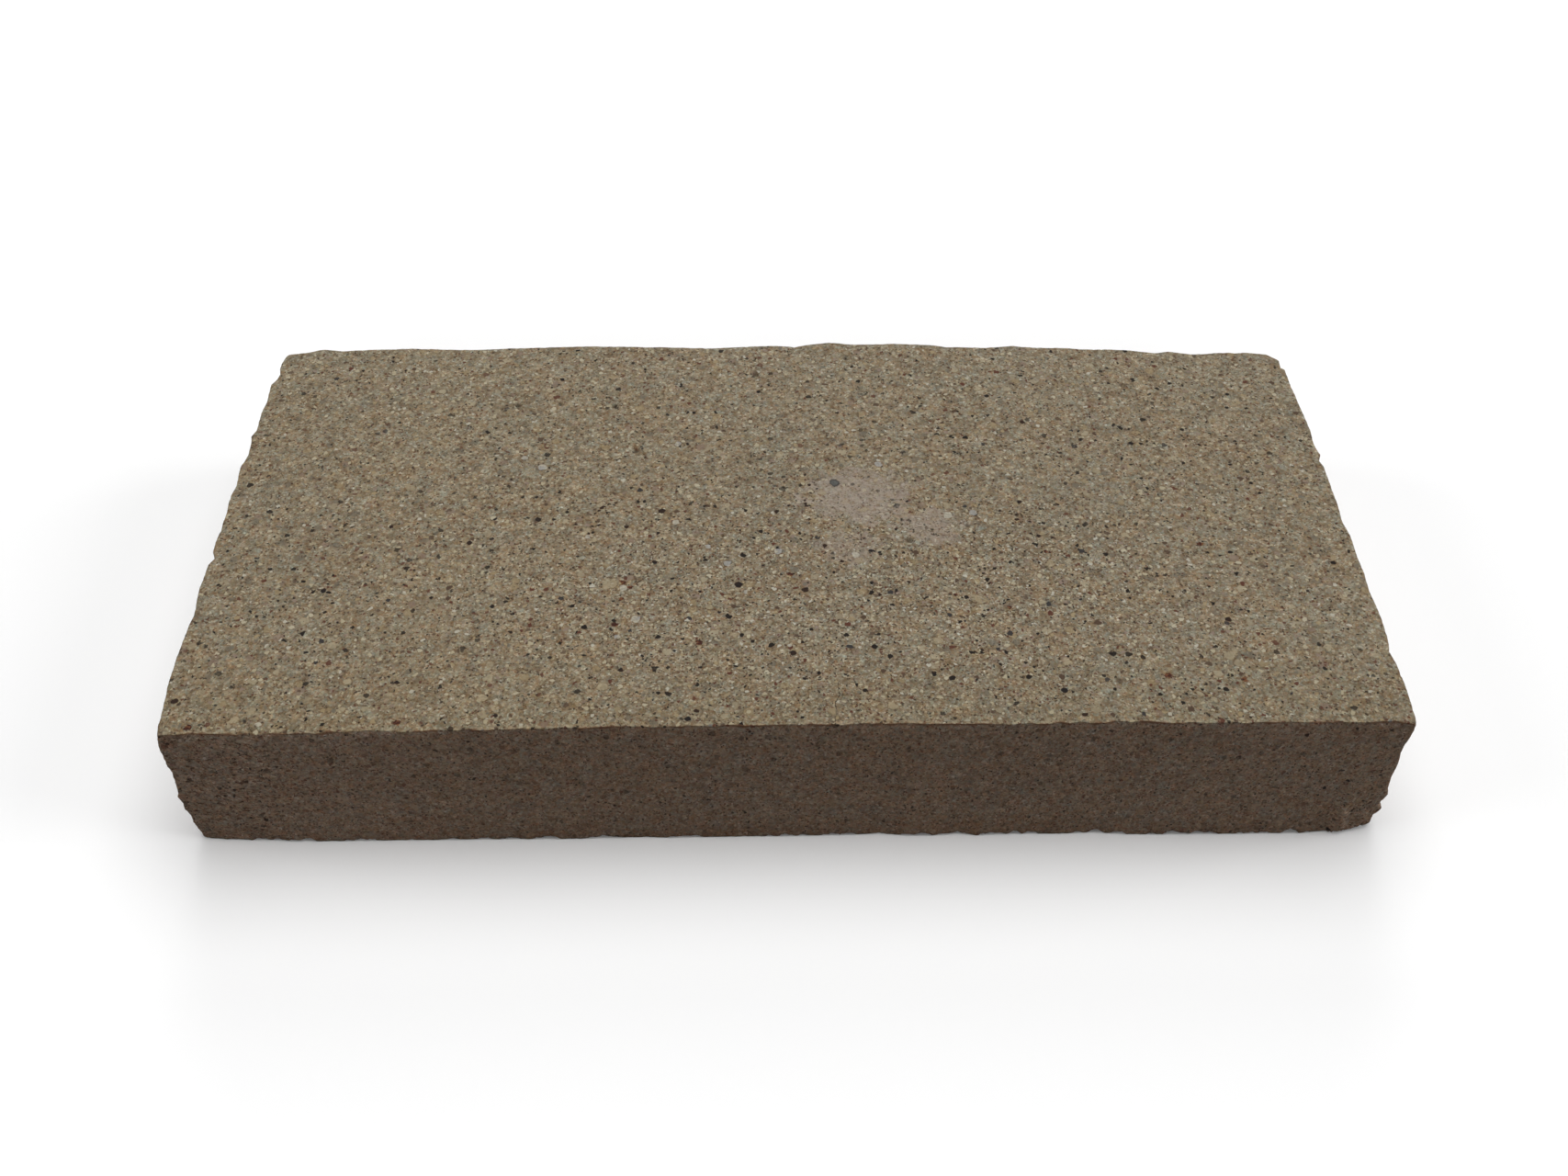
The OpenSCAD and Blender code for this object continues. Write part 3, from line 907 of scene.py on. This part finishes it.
    # dark grains, which lie closer together in some places
    thin = g.math("MULTIPLY_ADD", smear, -0.4, g.math("MULTIPLY_ADD", side, -0.12, 1.0))
    close = g.math("MULTIPLY", thin, g.math("MULTIPLY_ADD", g.math("MAXIMUM", worn, g.step(wide[2], 0.4, 0.6)), 0.25, 0.75))
    close = g.math("MULTIPLY", close, g.math("MULTIPLY_ADD", side, -0.38, 1.0))
    base = grains(base, 0.52, [(0, BLACK), (0.14, BROWN), (0.28, RUSTY), (0.35, None)], 0.07, 0.19, 0.05, 0.95, side, by=2)
    base = grains(base, 0.75, [(0, BLACK), (0.12, BROWN), (0.22, RUSTY), (0.34, None)], 0.1, 0.3, 0.06, 0.92, thin)
    base = grains(base, 1.05, [(0, BLACK), (0.12, RUSTY), (0.24, BROWN), (0.38, None)], 0.1, 0.33, 0.05, 0.95, g.math("MULTIPLY", worn, thin), by=1)
    base = grains(base, 1.6, [(0, BLACK), (0.22, BROWN), (0.29, RUSTY), (0.43, None)], 0.17, 0.46, 0.05, 0.97, close)
    base = grains(base, 2.8, [(0, BLACK), (0.26, RUSTY), (0.35, SLATE), (0.41, BROWN), (0.5, None)], 0.22, 0.7, 0.06, 0.98, close)

    # the grains that stand out
    shaken = g.math("MULTIPLY", g.split(shake)[1], 1.3)
    dark = g.step(g.math("ADD", g.attr("dark"), g.math("MULTIPLY_ADD", side, 0.1, shaken)), 0.04, -0.16)
    pale = g.step(g.math("ADD", g.attr("pale"), g.math("MULTIPLY", shaken, 2.2)), 0.14, -0.2)
    white = g.step(g.math("ADD", g.attr("white"), shaken), 0.1, -0.12)
    rust = g.step(g.math("ADD", g.attr("rust"), g.math("MULTIPLY", shaken, 1.5)), 0.1, -0.12)
    # painted shade in a ring around the pale and white grains, as in the crevice round each
    shade_around = g.math("ADD", g.math("MINIMUM", g.attr("pale"), g.attr("white")), shaken)
    shade_around = g.math("MULTIPLY", g.step(shade_around, 0.42, 0.12), g.step(shade_around, -0.3, 0.05))
    base = g.tint(base, (0.62, 0.5, 0.42, 1), g.math("MULTIPLY", shade_around, g.step(near[2], 0.35, 0.6, 0.15, 0.75)))
    base = g.mix(g.math("MULTIPLY", pale, 0.64), base, g.tint((*CREAM, 1), g.graded(near[1], [(0.35, (0.86, 0.84, 0.8, 1)), (0.65, (1.08, 1.07, 1.05, 1))])[0]))
    base = g.mix(g.math("MULTIPLY", white, 0.8), base, g.vec("SCALE", g.mix(g.step(near[0], 0.45, 0.52), (0.275, 0.27, 0.25, 1), (0.35, 0.325, 0.26, 1)), scale=fine))
    base = g.mix(g.math("MULTIPLY", rust, 0.97), base, g.vec("SCALE", g.mix(g.step(g.noise(place, 0.7, 2.0), 0.47, 0.6), (0.042, 0.014, 0.01, 1), (0.13, 0.052, 0.024, 1)), scale=fine))
    base = g.mix(g.math("MULTIPLY", dark, 0.985), base, g.mix(g.step(near[1], 0.42, 0.55), (0.0125, 0.0105, 0.0105, 1), (0.027, 0.015, 0.0105, 1)))
    # the large dark grain, with a painted highlight on its middle that leaves the rim darker
    rim = g.math("ADD", g.attr("rim"), g.math("MULTIPLY", shaken, 1.2))
    base = g.mix(g.math("MULTIPLY", g.step(rim, 0.25, -0.15), 0.9), base, (0.036, 0.035, 0.034, 1))
    base = g.mix(g.step(g.math("ADD", rim, g.math("MULTIPLY_ADD", near[0], 0.8, -0.4)), -0.3, -0.6), base, g.vec("SCALE", (0.088, 0.09, 0.082), scale=fine))

    # pits hold shadow and dust
    base = g.mix(g.math("MULTIPLY", g.step(g.attr("pit"), 0.1, -0.3), 0.5), base, (0.06, 0.045, 0.033, 1))

    # the cracks, which waver a little and open and close
    def line(name, width, waver):
        off = g.math("MULTIPLY_ADD", g.math("SUBTRACT", g.noise(place, 0.8, 3.0, 0.7), 0.5), waver, g.attr(name))
        open_ = g.math("MAXIMUM", g.math("MULTIPLY_ADD", g.noise(place, 1.9, 2.0), width * 3.2, width * -0.95), 0.004)
        return g.math("MULTIPLY", g.step(g.math("DIVIDE", g.math("ABSOLUTE", off), open_), 1.2, 0.5), g.attr(name + "_here"))

    crack = line("crack", 0.105, 0.9)
    base = g.mix(g.math("MULTIPLY", crack, 0.85), base, (0.04, 0.026, 0.018, 1))
    base = g.mix(g.math("MULTIPLY", line("seam", 0.2, 1.4), 0.6), base, (0.065, 0.048, 0.034, 1))

    # the front arris: red-brown along the crest and just under it, pale along the top side, both in lengths, and
    # grains torn half out of it
    at = g.math("ADD", ridge, g.math("MULTIPLY", g.split(shake)[0], 1.5))
    lengths = g.step(g.noise(place, 1.7, 2.0), 0.5, 0.58)
    pale_line = g.math("MULTIPLY", g.math("MULTIPLY", g.step(at, 0.02, 0.14), g.step(at, 0.8, 0.4)), lengths)
    base = g.mix(g.math("MULTIPLY", pale_line, 0.5), base, (0.33, 0.265, 0.175, 1))
    lengths = g.step(g.math("MULTIPLY_ADD", g.step(x, -50.0, -20.0), 0.05, g.noise(place, 7.0, 2.0)), 0.47, 0.55)
    red_line = g.math("MULTIPLY", g.math("MULTIPLY", g.step(at, -0.65, -0.25), g.step(at, 0.22, 0.02)), lengths)
    base = g.mix(g.math("MULTIPLY", red_line, 0.7), base, g.mix(near[0], (0.08, 0.028, 0.016, 1), (0.16, 0.085, 0.045, 1)))
    crest = g.step(g.math("ABSOLUTE", ridge), 0.75, 0.3)
    base = grains(base, 1.05, [(0, RUSTY), (0.19, BLACK), (0.27, BROWN), (0.37, (0.115, 0.108, 0.098)), (0.44, CREAM), (0.53, None)], 0.14, 0.42, 0.07, 0.9, crest, by=2)

    g.put(bsdf.inputs["Base Color"], base)
    rough = g.noise(place, 0.5, 2.0, 0.6)
    g.put(bsdf.inputs["Roughness"], g.step(rough, 0.3, 1.2, 0.97, 0.78))
    bsdf.inputs["Specular IOR Level"].default_value = 0.12

    # relief: a sandy skin, rougher where it has come away
    coarse = g.noise(place, 1.3, 2.0, 0.5)
    h = g.math("MULTIPLY", rough, g.step(g.math("MAXIMUM", bare, fresh), 0.0, 1.0, 0.11, 0.2))
    h = g.math("MULTIPLY_ADD", coarse, 0.1, h)
    bump = g.node("ShaderNodeBump")
    bump.inputs["Strength"].default_value = 1.0
    bump.inputs["Distance"].default_value = 0.001
    g.put(bump.inputs["Height"], h)
    tree.links.new(bump.outputs[0], bsdf.inputs["Normal"])
    return mat


brick.data.materials.append(fireclay())
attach(brick, "root")
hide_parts("firebrick")


# ---------------------------------------------------------------- stage and light
def build_floor():
    mesh = bpy.data.meshes.new("floor")
    r = 60.0
    n = 48
    ring = [(r * math.cos(2 * math.pi * i / n), r * math.sin(2 * math.pi * i / n), 0.0) for i in range(n)]
    mesh.from_pydata(ring, [], [tuple(range(n))])
    floor = bpy.data.objects.new("floor", mesh)
    floor.location = (0, 0, -0.00003)
    scene.collection.objects.link(floor)
    floor.visible_diffuse = False
    mat = bpy.data.materials.new("floor")
    mat.use_nodes = True
    b = mat.node_tree.nodes["Principled BSDF"]
    b.inputs["Base Color"].default_value = (0.97, 0.97, 0.97, 1)
    b.inputs["Roughness"].default_value = 0.9
    b.inputs["Specular IOR Level"].default_value = 0.1
    mesh.materials.append(mat)


build_floor()


def sun(name, energy, angle, turn, tilt):
    """A wide distant light. turn is the side it shines from, with 0 the front and 90 the right; tilt is its height."""
    data = bpy.data.lights.new(name, "SUN")
    data.energy = energy
    data.angle = math.radians(angle)
    light = bpy.data.objects.new(name, data)
    light.rotation_euler = (math.radians(90 - tilt), 0, math.radians(turn))
    scene.collection.objects.link(light)


sun("soft_key", 1.9, 60, 160, 76)
sun("front_fill", 0.9, 40, 0, 22)
sun("right_fill", 1.35, 40, 90, 22)
sun("back_fill", 1.15, 40, 180, 22)
sun("left_fill", 0.95, 40, 270, 22)

world = bpy.data.worlds.new("world")
scene.world = world
world.use_nodes = True
world.node_tree.nodes["Background"].inputs[0].default_value = (1.0, 1.0, 1.0, 1)
world.node_tree.nodes["Background"].inputs[1].default_value = 1.0
world.cycles_visibility.diffuse = False
world.cycles_visibility.glossy = False
world.cycles_visibility.transmission = False
world.cycles_visibility.scatter = False

scene.view_settings.view_transform = "Standard"
scene.view_settings.look = "None"
